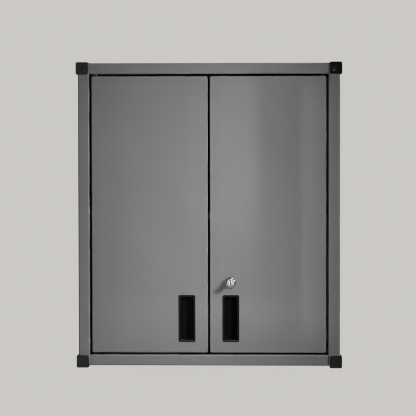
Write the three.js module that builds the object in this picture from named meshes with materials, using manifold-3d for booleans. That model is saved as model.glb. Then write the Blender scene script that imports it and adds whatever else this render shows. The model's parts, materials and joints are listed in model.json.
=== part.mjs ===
// A two-door steel wall cabinet that hooks onto a pair of slotted wall uprights.
// Millimetres. +X is to the right, +Y points back to the wall, +Z is up, and the doors face -Y.
// The origin is the middle of the back plane, which lies against the faces of the uprights.
// Pairs are drawn once, on the right or the upper side, and mirrored by their mesh's scale.

import * as THREE from 'three';
import { mergeVertices } from 'three/addons/utils/BufferGeometryUtils.js';
import Module from 'manifold-3d';

const wasm = await Module();
wasm.setup();

// ---- Driving dimensions ----------------------------------------------------------------------

const BODY_WIDTH = 640;
const BODY_HEIGHT = 740;
const BODY_DEPTH = 300;
const STILE_WIDTH = 28; // front face of a side panel
const RAIL_HEIGHT = 27; // front face of the top and bottom panels
const FRAME_DEPTH = 23.25; // how far the stiles and rails turn back from the front plane
const FRAME_SHEET = 1.5;
const FLANGE_WIDTH = 48; // rear flange of a side panel, which carries the hooks
const REAR_FLANGE = 18; // rear flange of the top and bottom panels
const HEM = 13; // how far the stiles and rails turn in again behind the front
const CLEAR = 0.3; // gap between pieces that touch

const DOOR_THICKNESS = 20.1;
const DOOR_SHEET = 1.2;
const DOOR_INNER_SHEET = 1;
const DOOR_SIDE_GAP = 5.5;
const DOOR_END_GAP = 5;
const DOOR_CENTRE_GAP = 5;
const DOOR_EDGE_RADIUS = 1.5;
const DOOR_LIP = 14; // rear lip round a door shell
const HINGE_SIDE_INSET = 10.5; // hinge axis, from the door's side edge
const HINGE_FRONT_INSET = 8; // hinge axis, from the door's front

const CAP_SIZE = 30;
const CAP_SIDE_PROUD = 5;
const CAP_TOP_PROUD = 2.5;
const CAP_BOTTOM_PROUD = 5.5;
const CAP_FRONT_PROUD = 3;
const CAP_DEPTH = 36;
const CAP_CORNER = 3;
const CAP_PLUG = { margin: 5, depth: 9 }; // the tongue that goes into the stile's open end

const HANDLE_WIDTH = 41;
const HANDLE_HEIGHT = 115;
const HANDLE_X = 53.7; // from the centre line
const HANDLE_Z = -254.4;
const HANDLE_RIM = 5;
const HANDLE_DEPTH = 14; // from the door's front to the bottom of the recess
const HANDLE_PROUD = 1.6;
const HANDLE_WALL = 2;
const HANDLE_UNDERCUT = 1.2;
const HANDLE_CORNER = 4;
const HANDLE_OPENING = { width: HANDLE_WIDTH - 4, height: HANDLE_HEIGHT - 4, corner: 3 };

const LOCK_X = 53.5;
const LOCK_Z = -166;
const LOCK_PROUD = 9;
const CAM_REACH = 68;
const CAM_WIDTH = 14;

const UPRIGHT_X = 300; // centre line of each wall upright
const HOOK_SPACING = 12; // between the two hook rows of one upright
const HOOK_LEVELS = [320, 288, -320]; // multiples of the uprights' 32 mm slot pitch
const HOOK_SHEET = 2;

const BEND = 3.25; // bend radius at the middle of a folded sheet
const BEND_STEPS = 3;
const ROUND_SIDES = 20;
const SMALL_SIDES = 12;
const ARC_STEPS = 3; // steps in each rounded corner of an outline

// ---- Values worked out from them -------------------------------------------------------------

const HALF_WIDTH = BODY_WIDTH / 2;
const HALF_HEIGHT = BODY_HEIGHT / 2;
const FRONT = -BODY_DEPTH;
const FRAME_BACK = FRONT + FRAME_DEPTH;
const OPENING_X = HALF_WIDTH - STILE_WIDTH;
const OPENING_Z = HALF_HEIGHT - RAIL_HEIGHT;
const DOOR_BACK = FRONT + DOOR_THICKNESS;
const SHELL_BACK = DOOR_BACK - DOOR_INNER_SHEET - CLEAR;
const DOOR_FREE_X = DOOR_CENTRE_GAP / 2;
const DOOR_HINGE_X = OPENING_X - DOOR_SIDE_GAP;
const DOOR_Z = OPENING_Z - DOOR_END_GAP;
const HINGE_X = DOOR_HINGE_X - HINGE_SIDE_INSET;
const HINGE_Y = FRONT + HINGE_FRONT_INSET;
const LOCK_FACE = FRONT - LOCK_PROUD;

// ---- Materials -------------------------------------------------------------------------------

const material = (color, roughness, metalness) =>
  new THREE.MeshStandardMaterial({ color, roughness, metalness });

const GREY_PAINT = material(0x6f7072, 0.45, 0.2);
const DOOR_PAINT = material(0x747577, 0.45, 0.2);
const CAP_PLASTIC = material(0x26272a, 0.55, 0);
const CUP_PLASTIC = material(0x141416, 0.3, 0);
const CHROME = material(0xd4d6d8, 0.15, 1);
const ZINC = material(0xa9acb0, 0.4, 1);
const BLACK_STEEL = material(0x1e1f21, 0.45, 0.6);
const NYLON = material(0x232324, 0.5, 0);
const RUBBER = material(0x1a1a1a, 0.9, 0);

// ---- Shape helpers ---------------------------------------------------------------------------

// A closed geometry as a solid that can be joined and cut.
function solid(geometry) {
  const bare = new THREE.BufferGeometry();
  bare.setAttribute('position', geometry.getAttribute('position'));
  if (geometry.index) bare.setIndex(geometry.index);
  const merged = mergeVertices(bare, 1e-4);
  return new wasm.Manifold(new wasm.Mesh({
    numProp: 3,
    vertProperties: merged.getAttribute('position').array,
    triVerts: new Uint32Array(merged.index.array),
  }));
}

// A solid as a geometry that a mesh can show.
function geometryOf(shape) {
  const mesh = shape.getMesh();
  const geometry = new THREE.BufferGeometry();
  geometry.setAttribute('position', new THREE.BufferAttribute(mesh.vertProperties, 3));
  geometry.setIndex(new THREE.BufferAttribute(mesh.triVerts, 1));
  const flat = geometry.toNonIndexed();
  flat.computeVertexNormals();
  return flat;
}

function join(first, ...others) {
  return others.reduce((whole, piece) => whole.add(piece), first);
}

function cut(first, ...others) {
  return others.reduce((whole, piece) => whole.subtract(piece), first);
}

// A block between two values of x, of y and of z.
function block([x0, x1], [y0, y1], [z0, z1]) {
  const box = new THREE.BoxGeometry(x1 - x0, y1 - y0, z1 - z0);
  return solid(box.translate((x0 + x1) / 2, (y0 + y1) / 2, (z0 + z1) / 2));
}

function drawnOut(outline, depth) {
  return new THREE.ExtrudeGeometry(outline, { depth, bevelEnabled: false, curveSegments: ARC_STEPS });
}

// An outline in x and y, drawn out along z.
function prismAlongZ(outline, [z0, z1]) {
  const drawn = drawnOut(outline, z1 - z0);
  return solid(drawn.translate(0, 0, z0));
}

// An outline in y and z, drawn out along x.
function prismAlongX(outline, [x0, x1]) {
  const drawn = drawnOut(outline, x1 - x0);
  const turn = new THREE.Matrix4().makeBasis(
    new THREE.Vector3(0, 1, 0), new THREE.Vector3(0, 0, 1), new THREE.Vector3(1, 0, 0));
  return solid(drawn.applyMatrix4(turn).translate(x0, 0, 0));
}

// An outline in x and z, drawn out along y.
function prismAlongY(outline, [y0, y1]) {
  const drawn = drawnOut(outline, y1 - y0);
  const turn = new THREE.Matrix4().makeBasis(
    new THREE.Vector3(1, 0, 0), new THREE.Vector3(0, 0, 1), new THREE.Vector3(0, -1, 0));
  return solid(drawn.applyMatrix4(turn).translate(0, y1, 0));
}

// Round rods along y and along z.
function rodAlongY(radius, [x, z], [y0, y1], sides = ROUND_SIDES) {
  const rod = new THREE.CylinderGeometry(radius, radius, y1 - y0, sides);
  return solid(rod.translate(x, (y0 + y1) / 2, z));
}

function rodAlongZ(radius, [x, y], [z0, z1], sides = ROUND_SIDES) {
  const rod = new THREE.CylinderGeometry(radius, radius, z1 - z0, sides).rotateX(Math.PI / 2);
  return solid(rod.translate(x, y, (z0 + z1) / 2));
}

// A profile of [radius, y] points turned about a line along y.
function turnedAlongY(profile, [x, z], sides = ROUND_SIDES) {
  const lathe = new THREE.LatheGeometry(profile.map(([r, y]) => new THREE.Vector2(r, y)), sides);
  return solid(lathe.translate(x, 0, z));
}

// A rectangle with round corners, about a centre.
function roundedRectangle(width, height, radius, [u, v] = [0, 0]) {
  const right = u + width / 2 - radius;
  const left = u - width / 2 + radius;
  const top = v + height / 2 - radius;
  const bottom = v - height / 2 + radius;
  const outline = new THREE.Shape();
  outline.absarc(right, bottom, radius, -Math.PI / 2, 0);
  outline.absarc(right, top, radius, 0, Math.PI / 2);
  outline.absarc(left, top, radius, Math.PI / 2, Math.PI);
  outline.absarc(left, bottom, radius, Math.PI, 1.5 * Math.PI);
  return outline;
}

function polygon(points) {
  return new THREE.Shape(points.map(([u, v]) => new THREE.Vector2(u, v)));
}

// The section of a folded sheet. The path runs along the middle of the sheet, and each of its
// corners becomes a round bend.
function foldedSection(path, thickness, bend = BEND) {
  const points = path.map(([u, v]) => new THREE.Vector2(u, v));
  const runAfter = (i) => points[i + 1].clone().sub(points[i]).normalize();
  const normalOf = (run) => new THREE.Vector2(-run.y, run.x);
  const middle = [{ at: points[0], normal: normalOf(runAfter(0)) }];
  for (let i = 1; i < points.length - 1; i += 1) {
    const before = runAfter(i - 1);
    const after = runAfter(i);
    const turn = Math.atan2(before.cross(after), before.dot(after));
    const side = Math.sign(turn);
    const centre = points[i].clone()
      .addScaledVector(before, -bend * Math.tan(Math.abs(turn) / 2))
      .addScaledVector(normalOf(before), side * bend);
    for (let step = 0; step <= BEND_STEPS; step += 1) {
      const angle = (turn * step) / BEND_STEPS;
      const normal = normalOf(before).rotateAround(new THREE.Vector2(), angle);
      middle.push({ at: centre.clone().addScaledVector(normal, -side * bend), normal });
    }
  }
  middle.push({ at: points.at(-1), normal: normalOf(runAfter(points.length - 2)) });
  const edge = (offset) => middle.map(({ at, normal }) => at.clone().addScaledVector(normal, offset));
  return new THREE.Shape([...edge(thickness / 2), ...edge(-thickness / 2).reverse()]);
}

const cabinet = new THREE.Group();

// Adds a piece. A scale of -1 mirrors it to the other side.
function addPart(name, shape, surface, { mirrorX = false, mirrorZ = false } = {}) {
  const mesh = new THREE.Mesh(geometryOf(shape), surface);
  mesh.name = name;
  mesh.scale.set(mirrorX ? -1 : 1, 1, mirrorZ ? -1 : 1);
  cabinet.add(mesh);
}

// Adds a right-hand piece and its mirrored twin on the left.
function addSidePair(name, shape, surface, options = {}) {
  addPart(`${name}_right`, shape, surface, options);
  addPart(`${name}_left`, shape, surface, { ...options, mirrorX: true });
}

// Adds an upper right piece and its three mirrored copies. The upper left one may have a
// surface of its own.
function addCornerSet(name, shape, surface, upperLeftSurface = surface) {
  addPart(`${name}_right_upper`, shape, surface);
  addPart(`${name}_left_upper`, shape, upperLeftSurface, { mirrorX: true });
  addPart(`${name}_right_lower`, shape, surface, { mirrorZ: true });
  addPart(`${name}_left_lower`, shape, surface, { mirrorX: true, mirrorZ: true });
}

// ---- Case ------------------------------------------------------------------------------------

const SCREW = {
  x: HALF_WIDTH - STILE_WIDTH / 2,
  z: HALF_HEIGHT - 14.5,
  shank: 3,
  tip: 12, // depth behind the front plane
  head: 6,
  headHeight: 2.6,
  socket: 2.3,
  socketDepth: 2,
  recess: 8.4, // the round recess in the cap
  recessDepth: 1.2,
};
const RIVET = { levels: [200, -200], shank: 2.5, tip: -0.2, head: 5, headHeight: 2.2 };
const HINGE_PIN = { shank: 2.2, length: 12, collar: 3.2, collarHeight: 2.4, head: 4.6, headHeight: 2.5 };
const HOOK = {
  neckHalf: 7,
  throat: 3.4,
  reach: 8,
  drop: 19,
  slotMargin: 0.4,
  tipWidth: 2,
  tipHeight: 4,
  shoulder: 3,
};
const BRACKET = { width: 20, height: 680, corner: 4 };

// Section of the right side panel, from the rear flange round the wall to the stile's hem.
function sidePanel() {
  const half = FRAME_SHEET / 2;
  const wall = HALF_WIDTH - half;
  const section = foldedSection([
    [HALF_WIDTH - FLANGE_WIDTH, -half],
    [wall, -half],
    [wall, FRONT + half],
    [OPENING_X + half, FRONT + half],
    [OPENING_X + half, FRAME_BACK - half],
    [OPENING_X + HEM, FRAME_BACK - half],
  ], FRAME_SHEET);
  const blank = prismAlongZ(section, [-HALF_HEIGHT, HALF_HEIGHT]);
  const throughStile = [FRONT - 1, FRONT + BEND + FRAME_SHEET];
  const throughFlange = [-BEND - FRAME_SHEET, 1];
  const screwHole = rodAlongY(SCREW.shank + CLEAR, [SCREW.x, SCREW.z], throughStile, SMALL_SIDES);
  const rivetHoles = RIVET.levels.map((z) =>
    rodAlongY(RIVET.shank + CLEAR, [UPRIGHT_X, z], throughFlange, SMALL_SIDES));
  return cut(blank, screwHole, ...rivetHoles, ...hookSlots());
}

// The slots in the rear flange that the hooks pass through.
function hookSlots() {
  const half = HOOK_SHEET / 2 + HOOK.slotMargin;
  const height = HOOK.neckHalf + HOOK.slotMargin;
  return hookPlaces().map(([x, z]) =>
    block([x - half, x + half], [-FRAME_SHEET - 1, 1], [z - height, z + height]));
}

function hookPlaces() {
  const rows = [UPRIGHT_X - HOOK_SPACING / 2, UPRIGHT_X + HOOK_SPACING / 2];
  return rows.flatMap((x) => HOOK_LEVELS.map((z) => [x, z]));
}

// The top panel, folded down at the front into a rail and at the back into a flange. Its front
// and rear corners are notched for the stiles and the side panels' flanges.
function topPanel() {
  const half = FRAME_SHEET / 2;
  const sheet = HALF_HEIGHT - half;
  const section = foldedSection([
    [-half, HALF_HEIGHT - REAR_FLANGE],
    [-half, sheet],
    [FRONT + half, sheet],
    [FRONT + half, OPENING_Z + half],
    [FRAME_BACK - half, OPENING_Z + half],
    [FRAME_BACK - half, OPENING_Z + HEM],
  ], FRAME_SHEET);
  const reach = HALF_WIDTH - FRAME_SHEET - CLEAR;
  const blank = prismAlongX(section, [-reach, reach]);
  const stileNotch = OPENING_X - CLEAR;
  const flangeNotch = HALF_WIDTH - FLANGE_WIDTH - CLEAR;
  const notches = [-1, 1].flatMap((side) => [
    block(across(side, stileNotch), [FRONT - 1, FRAME_BACK + CLEAR], [OPENING_Z - 1, HALF_HEIGHT + 1]),
    block(across(side, flangeNotch), [-FRAME_SHEET - BEND, 1], [OPENING_Z - 1, HALF_HEIGHT + 1]),
  ]);
  const pinHoles = [-HINGE_X, HINGE_X].map((x) =>
    rodAlongZ(HINGE_PIN.shank + CLEAR, [x, HINGE_Y], [OPENING_Z - 1, OPENING_Z + BEND], SMALL_SIDES));
  return cut(blank, ...notches, ...pinHoles);
}

// The stretch from a distance on one side of the middle to past that side's wall.
function across(side, from) {
  return side > 0 ? [from, HALF_WIDTH + 1] : [-HALF_WIDTH - 1, -from];
}

// The back panel lies against the rear flanges' inner faces. Two pressed ribs stiffen it.
function backPanel() {
  const sheet = 1.2;
  const bend = 1.5;
  const endMargin = 2;
  const plane = -FRAME_SHEET - 2 * CLEAR - sheet / 2;
  const reach = UPRIGHT_X - BRACKET.width / 2 - 3;
  const rib = { x: 140, half: 20, slope: 5, depth: 5 };
  const ribPath = (x) => [
    [x - rib.half, plane],
    [x - rib.half + rib.slope, plane - rib.depth],
    [x + rib.half - rib.slope, plane - rib.depth],
    [x + rib.half, plane],
  ];
  const path = [[-reach, plane], ...ribPath(-rib.x), ...ribPath(rib.x), [reach, plane]];
  const height = HALF_HEIGHT - FRAME_SHEET - endMargin;
  return prismAlongZ(foldedSection(path, sheet, bend), [-height, height]);
}

// A plastic corner: side, end and front walls round the case's corner, and a plug that goes
// into the open end of the stile.
function cornerCap(endProud, hasScrew) {
  const outerX = HALF_WIDTH + CAP_SIDE_PROUD;
  const outerZ = HALF_HEIGHT + endProud;
  const centre = [outerX - CAP_SIZE / 2, outerZ - CAP_SIZE / 2];
  const frontFace = FRONT - CAP_FRONT_PROUD;
  const backFace = frontFace + CAP_DEPTH;
  const body = prismAlongY(roundedRectangle(CAP_SIZE, CAP_SIZE, CAP_CORNER, centre), [frontFace, backFace]);
  const hollow = block([0, HALF_WIDTH + CLEAR], [FRONT - CLEAR, backFace + 1], [0, HALF_HEIGHT + CLEAR]);
  const plug = block(
    [OPENING_X + CAP_PLUG.margin, HALF_WIDTH - CAP_PLUG.margin],
    [FRONT + CAP_PLUG.margin, FRAME_BACK - CAP_PLUG.margin],
    [HALF_HEIGHT - CAP_PLUG.depth, HALF_HEIGHT + 2 * CLEAR]);
  const cap = join(cut(body, hollow), plug);
  if (!hasScrew) return cap;
  const recess = rodAlongY(SCREW.recess, [SCREW.x, SCREW.z], [frontFace - 1, frontFace + SCREW.recessDepth]);
  const hole = rodAlongY(SCREW.shank + CLEAR, [SCREW.x, SCREW.z], [frontFace - 1, FRONT + 1], SMALL_SIDES);
  return cut(cap, recess, hole);
}

// A button-head screw through the upper cap into the stile, with a hexagon socket.
function capScrew() {
  const seat = FRONT - CAP_FRONT_PROUD + SCREW.recessDepth - CLEAR;
  const top = seat - SCREW.headHeight;
  const tip = FRONT + SCREW.tip;
  const screw = turnedAlongY([
    [0, top],
    [SCREW.head * 0.5, top],
    [SCREW.head * 0.8, top + SCREW.headHeight * 0.2],
    [SCREW.head, top + SCREW.headHeight * 0.7],
    [SCREW.head, seat],
    [SCREW.shank, seat],
    [SCREW.shank, tip],
    [0, tip],
  ], [SCREW.x, SCREW.z]);
  const socket = rodAlongY(SCREW.socket, [SCREW.x, SCREW.z], [top - 1, top + SCREW.socketDepth], 6);
  return cut(screw, socket);
}

// ---- Wall fixing -----------------------------------------------------------------------------

// A hook: a neck through the flange and a lip that drops behind the upright's face.
function hook(x, z) {
  const root = -FRAME_SHEET - CLEAR - HOOK_SHEET / 2;
  const outline = polygon([
    [root, z - HOOK.neckHalf],
    [HOOK.throat, z - HOOK.neckHalf],
    [HOOK.throat, z - HOOK.drop],
    [HOOK.reach - HOOK.tipWidth, z - HOOK.drop],
    [HOOK.reach, z - HOOK.drop + HOOK.tipHeight],
    [HOOK.reach, z + HOOK.neckHalf - HOOK.shoulder],
    [HOOK.reach - HOOK.shoulder, z + HOOK.neckHalf],
    [root, z + HOOK.neckHalf],
  ]);
  return prismAlongX(outline, [x - HOOK_SHEET / 2, x + HOOK_SHEET / 2]);
}

// A strip inside the rear flange with its two rows of hooks.
function hangBracket() {
  const front = -FRAME_SHEET - CLEAR - HOOK_SHEET;
  const outline = roundedRectangle(BRACKET.width, BRACKET.height, BRACKET.corner, [UPRIGHT_X, 0]);
  const strip = prismAlongY(outline, [front, -FRAME_SHEET - CLEAR]);
  const hooks = hookPlaces().map(([x, z]) => hook(x, z));
  const holes = RIVET.levels.map((z) =>
    rodAlongY(RIVET.shank + CLEAR, [UPRIGHT_X, z], [front - 1, 0], SMALL_SIDES));
  return cut(join(strip, ...hooks), ...holes);
}

// A dome-headed rivet through a bracket and its flange.
function bracketRivet(z) {
  const seat = -FRAME_SHEET - 2 * CLEAR - HOOK_SHEET;
  return turnedAlongY([
    [0, seat - RIVET.headHeight],
    [RIVET.head * 0.75, seat - RIVET.headHeight * 0.75],
    [RIVET.head, seat],
    [RIVET.shank, seat],
    [RIVET.shank, RIVET.tip],
    [0, RIVET.tip],
  ], [UPRIGHT_X, z], SMALL_SIDES);
}

// ---- Shelf -----------------------------------------------------------------------------------

const SHELF = { top: 8, front: -262, back: -14, fold: 20, turnIn: 13, sheet: 1.2, bend: 1.8, endGap: 2 };
const SUPPORT = { wall: 16, ledge: 15, inset: 20 };

function shelf() {
  const half = SHELF.sheet / 2;
  const section = foldedSection([
    [SHELF.front + SHELF.turnIn, SHELF.top - SHELF.fold],
    [SHELF.front + half, SHELF.top - SHELF.fold],
    [SHELF.front + half, SHELF.top - half],
    [SHELF.back - half, SHELF.top - half],
    [SHELF.back - half, SHELF.top - SHELF.fold],
    [SHELF.back - SHELF.turnIn, SHELF.top - SHELF.fold],
  ], SHELF.sheet, SHELF.bend);
  const reach = HALF_WIDTH - FRAME_SHEET - SHELF.endGap;
  return prismAlongX(section, [-reach, reach]);
}

// An angle on the side wall, under the shelf and between its folded edges.
function shelfSupport() {
  const half = FRAME_SHEET / 2;
  const wall = HALF_WIDTH - FRAME_SHEET - CLEAR - half;
  const ledge = SHELF.top - SHELF.sheet - CLEAR - half;
  const path = [[wall, ledge - SUPPORT.wall], [wall, ledge], [wall - SUPPORT.ledge, ledge]];
  const section = foldedSection(path, FRAME_SHEET);
  return prismAlongY(section, [SHELF.front + SUPPORT.inset, SHELF.back - SUPPORT.inset]);
}

// ---- Hinges, catches and stops ---------------------------------------------------------------

// The pin drops from inside the rail through its lower wall into the door's bush. The door
// hangs between the collars of its two pins.
function hingePin() {
  const tip = OPENING_Z - HINGE_PIN.length;
  const seat = OPENING_Z + FRAME_SHEET + CLEAR;
  const underRail = OPENING_Z - CLEAR;
  const place = [HINGE_X, HINGE_Y];
  return join(
    rodAlongZ(HINGE_PIN.shank, place, [tip, seat + 1]),
    rodAlongZ(HINGE_PIN.collar, place, [underRail - HINGE_PIN.collarHeight, underRail], SMALL_SIDES),
    rodAlongZ(HINGE_PIN.head, place, [seat, seat + HINGE_PIN.headHeight], SMALL_SIDES),
  );
}

const BUSH = { radius: 3.8, length: 8, flange: 4.8, flangeHeight: 1.4 };

// A flanged nylon bush in the end wall of the door shell.
function hingeBush() {
  const place = [HINGE_X, HINGE_Y];
  const seat = DOOR_Z + CLEAR;
  const body = rodAlongZ(BUSH.radius, place, [DOOR_Z - BUSH.length, seat + CLEAR]);
  const flange = rodAlongZ(BUSH.flange, place, [seat, seat + BUSH.flangeHeight]);
  const through = [DOOR_Z - BUSH.length - 1, seat + 2 * BUSH.flangeHeight];
  const bore = rodAlongZ(HINGE_PIN.shank + CLEAR, place, through);
  return cut(join(body, flange), bore);
}

const CATCH = { x: 62, halfWidth: 15, drop: 16, depth: 12, rise: 10, chamfer: 3, underRail: 2 };
const STOP_HALF_WIDTH = 10;

// A block behind the rail whose nose reaches down and forward to the back of the door.
function railBlock(halfWidth, noseFront) {
  const back = FRAME_BACK + CLEAR + CATCH.depth;
  const outline = polygon([
    [noseFront, OPENING_Z - CATCH.drop],
    [back - CATCH.chamfer, OPENING_Z - CATCH.drop],
    [back, OPENING_Z - CATCH.drop + CATCH.chamfer],
    [back, OPENING_Z + CATCH.rise],
    [FRAME_BACK + CLEAR, OPENING_Z + CATCH.rise],
    [FRAME_BACK + CLEAR, OPENING_Z - CATCH.underRail],
    [noseFront, OPENING_Z - CATCH.underRail],
  ]);
  return prismAlongX(outline, [CATCH.x - halfWidth, CATCH.x + halfWidth]);
}

const STRIKE = { width: 24, height: 10, corner: 2, sheet: 1 };

function strikePlate() {
  const z = OPENING_Z - CATCH.drop + STRIKE.height / 2 + 1;
  const outline = roundedRectangle(STRIKE.width, STRIKE.height, STRIKE.corner, [CATCH.x, z]);
  return prismAlongY(outline, [DOOR_BACK + CLEAR, DOOR_BACK + CLEAR + STRIKE.sheet]);
}

// ---- Doors -----------------------------------------------------------------------------------

// The right door's shell: a tray of folded sheet with a lip round its open back, an opening for
// the handle cup and holes for the hinge bushes.
function doorShell(extraCuts) {
  const outline = new THREE.Shape();
  const r = DOOR_EDGE_RADIUS;
  outline.moveTo(DOOR_HINGE_X, SHELL_BACK);
  outline.lineTo(DOOR_FREE_X, SHELL_BACK);
  outline.absarc(DOOR_FREE_X + r, FRONT + r, r, Math.PI, 1.5 * Math.PI);
  outline.absarc(DOOR_HINGE_X - r, FRONT + r, r, 1.5 * Math.PI, 2 * Math.PI);
  const tray = prismAlongZ(outline, [-DOOR_Z, DOOR_Z]);
  const inside = [DOOR_FREE_X + DOOR_SHEET, DOOR_HINGE_X - DOOR_SHEET];
  const window = [DOOR_FREE_X + DOOR_LIP, DOOR_HINGE_X - DOOR_LIP];
  const hollow = block(
    inside, [FRONT + DOOR_SHEET, SHELL_BACK - DOOR_SHEET], [-DOOR_Z + DOOR_SHEET, DOOR_Z - DOOR_SHEET]);
  const opening = block(
    window, [FRONT + DOOR_SHEET, SHELL_BACK + 1], [-DOOR_Z + DOOR_LIP, DOOR_Z - DOOR_LIP]);
  const { width, height, corner } = HANDLE_OPENING;
  const cupOpening = prismAlongY(
    roundedRectangle(width, height, corner, [HANDLE_X, HANDLE_Z]),
    [FRONT - 1, FRONT + DOOR_SHEET + 1]);
  const bushHoles = [[-DOOR_Z - 1, -DOOR_Z + 3], [DOOR_Z - 3, DOOR_Z + 1]].map((reach) =>
    rodAlongZ(BUSH.radius + CLEAR, [HINGE_X, HINGE_Y], reach));
  return cut(tray, hollow, opening, cupOpening, ...bushHoles, ...extraCuts);
}

function doorInnerPanel(extraCuts) {
  const margin = 8;
  const corner = 4;
  const width = DOOR_HINGE_X - DOOR_FREE_X - 2 * margin;
  const height = 2 * (DOOR_Z - margin);
  const middle = (DOOR_HINGE_X + DOOR_FREE_X) / 2;
  const outline = roundedRectangle(width, height, corner, [middle, 0]);
  return cut(prismAlongY(outline, [DOOR_BACK - DOOR_INNER_SHEET, DOOR_BACK]), ...extraCuts);
}

// The recessed pull of the right door. Its floor ramps down towards the meeting edge, where
// the rim gives the fingers an edge to pull.
function handleCup() {
  const place = [HANDLE_X, HANDLE_Z];
  const rimFront = FRONT - HANDLE_PROUD;
  const rimShape = roundedRectangle(HANDLE_WIDTH, HANDLE_HEIGHT, HANDLE_CORNER, place);
  const rim = prismAlongY(rimShape, [rimFront, FRONT - CLEAR]);
  const bodySize = [HANDLE_OPENING.width - 2 * CLEAR, HANDLE_OPENING.height - 2 * CLEAR];
  const bodyShape = roundedRectangle(...bodySize, HANDLE_OPENING.corner, place);
  const body = prismAlongY(bodyShape, [FRONT - 2 * CLEAR, FRONT + HANDLE_DEPTH + HANDLE_WALL]);
  const mouthHalf = HANDLE_WIDTH / 2 - HANDLE_RIM;
  const mouthSize = [2 * mouthHalf, HANDLE_HEIGHT - 2 * HANDLE_RIM];
  const mouthShape = roundedRectangle(...mouthSize, HANDLE_OPENING.corner, place);
  const mouth = prismAlongY(mouthShape, [rimFront - 1, FRONT + 1]);
  const shallow = FRONT + 0.8;
  const floor = FRONT + HANDLE_DEPTH;
  const undercut = HANDLE_X - mouthHalf - HANDLE_UNDERCUT;
  const recess = prismAlongZ(polygon([
    [undercut, shallow],
    [HANDLE_X + mouthHalf, shallow],
    [HANDLE_X + mouthHalf * 0.77, FRONT + HANDLE_DEPTH * 0.43],
    [HANDLE_X + mouthHalf * 0.42, FRONT + HANDLE_DEPTH * 0.76],
    [HANDLE_X, floor],
    [undercut, floor],
  ]), [HANDLE_Z - mouthSize[1] / 2, HANDLE_Z + mouthSize[1] / 2]);
  return cut(join(rim, body), mouth, recess);
}

// ---- Slide bolts of the left door ------------------------------------------------------------

const BOLT = {
  x: -24,
  front: -278.4,
  back: -272.4,
  halfWidth: 8,
  bottom: 276,
  top: 318,
  travel: 14,
  tongueHalf: 6,
  knobReach: 7,
  knobTip: 3,
  knobRoot: 8,
};
const GUIDE = { sheet: 1.2, bend: 0.9, foot: 9 };

// The upper bolt. Its tongue slides up behind the hem of the rail.
function slideBolt() {
  const body = block(
    [BOLT.x - BOLT.halfWidth, BOLT.x + BOLT.halfWidth], [BOLT.front, BOLT.back], [BOLT.bottom, BOLT.top]);
  const tongueWidth = [BOLT.x - BOLT.tongueHalf, BOLT.x + BOLT.tongueHalf];
  const tongue = block(tongueWidth, [FRAME_BACK + 1, BOLT.back], [BOLT.top - 1, DOOR_Z - 1]);
  const knob = prismAlongX(polygon([
    [BOLT.back - 1, BOLT.bottom],
    [BOLT.back + BOLT.knobReach, BOLT.bottom],
    [BOLT.back + BOLT.knobReach, BOLT.bottom + BOLT.knobTip],
    [BOLT.back - 1, BOLT.bottom + BOLT.knobRoot],
  ]), tongueWidth);
  return join(body, tongue, knob);
}

// A hat-shaped strap that holds the bolt against the door's inner panel.
function boltGuide() {
  const foot = DOOR_BACK + CLEAR + GUIDE.sheet / 2;
  const crown = BOLT.back + CLEAR + GUIDE.sheet / 2;
  const half = BOLT.halfWidth + CLEAR + GUIDE.sheet;
  const section = foldedSection([
    [BOLT.x - half - GUIDE.foot, foot],
    [BOLT.x - half, foot],
    [BOLT.x - half, crown],
    [BOLT.x + half, crown],
    [BOLT.x + half, foot],
    [BOLT.x + half + GUIDE.foot, foot],
  ], GUIDE.sheet, GUIDE.bend);
  return prismAlongZ(section, [BOLT.bottom + BOLT.knobRoot + BOLT.travel + 2, BOLT.top + 2]);
}

// ---- Lock ------------------------------------------------------------------------------------

const PLUG = { radius: 5.5, back: DOOR_BACK + 0.6, proud: 0.4 };
const BARREL = { radius: 9.2, face: 9.75, bezel: 14 };
const KEYWAY = { halfWidth: 1.3, halfHeight: 4, depth: 22 };
const CAM = { front: PLUG.back + CLEAR, sheet: 2 };
const CAM_SCREW = { shank: 2.2, depth: 4, head: 4.4, headHeight: 2.6 };
const NUT = { radius: 14, height: 4 };

// The fixed body of the lock: a domed bezel outside the door and a barrel through it.
function lockHousing() {
  const bore = PLUG.radius + CLEAR;
  const seat = FRONT - CLEAR;
  return turnedAlongY([
    [bore, LOCK_FACE],
    [bore, PLUG.back - CLEAR],
    [BARREL.radius, PLUG.back - CLEAR],
    [BARREL.radius, seat],
    [BARREL.bezel, seat],
    [BARREL.bezel, seat - LOCK_PROUD * 0.5],
    [BARREL.bezel - 0.8, seat - LOCK_PROUD * 0.7],
    [BARREL.face, LOCK_FACE],
    [bore, LOCK_FACE],
  ].reverse(), [LOCK_X, LOCK_Z]);
}

function lockNut() {
  const seat = FRONT + DOOR_SHEET + CLEAR;
  const place = [LOCK_X, LOCK_Z];
  return cut(
    rodAlongY(NUT.radius, place, [seat, seat + NUT.height], 6),
    rodAlongY(BARREL.radius + CLEAR, place, [seat - 1, seat + NUT.height + 1]));
}

// The turning plug, with a keyway in front and a blind hole for the cam screw behind.
function lockPlug() {
  const place = [LOCK_X, LOCK_Z];
  const front = LOCK_FACE - PLUG.proud;
  const keyway = block(
    [LOCK_X - KEYWAY.halfWidth, LOCK_X + KEYWAY.halfWidth], [front - 1, front + KEYWAY.depth],
    [LOCK_Z - KEYWAY.halfHeight, LOCK_Z + KEYWAY.halfHeight]);
  const screwHole = rodAlongY(
    CAM_SCREW.shank + CLEAR, place, [PLUG.back - CAM_SCREW.depth - 1, PLUG.back + 1], SMALL_SIDES);
  return cut(rodAlongY(PLUG.radius, place, [front, PLUG.back]), keyway, screwHole);
}

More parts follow.
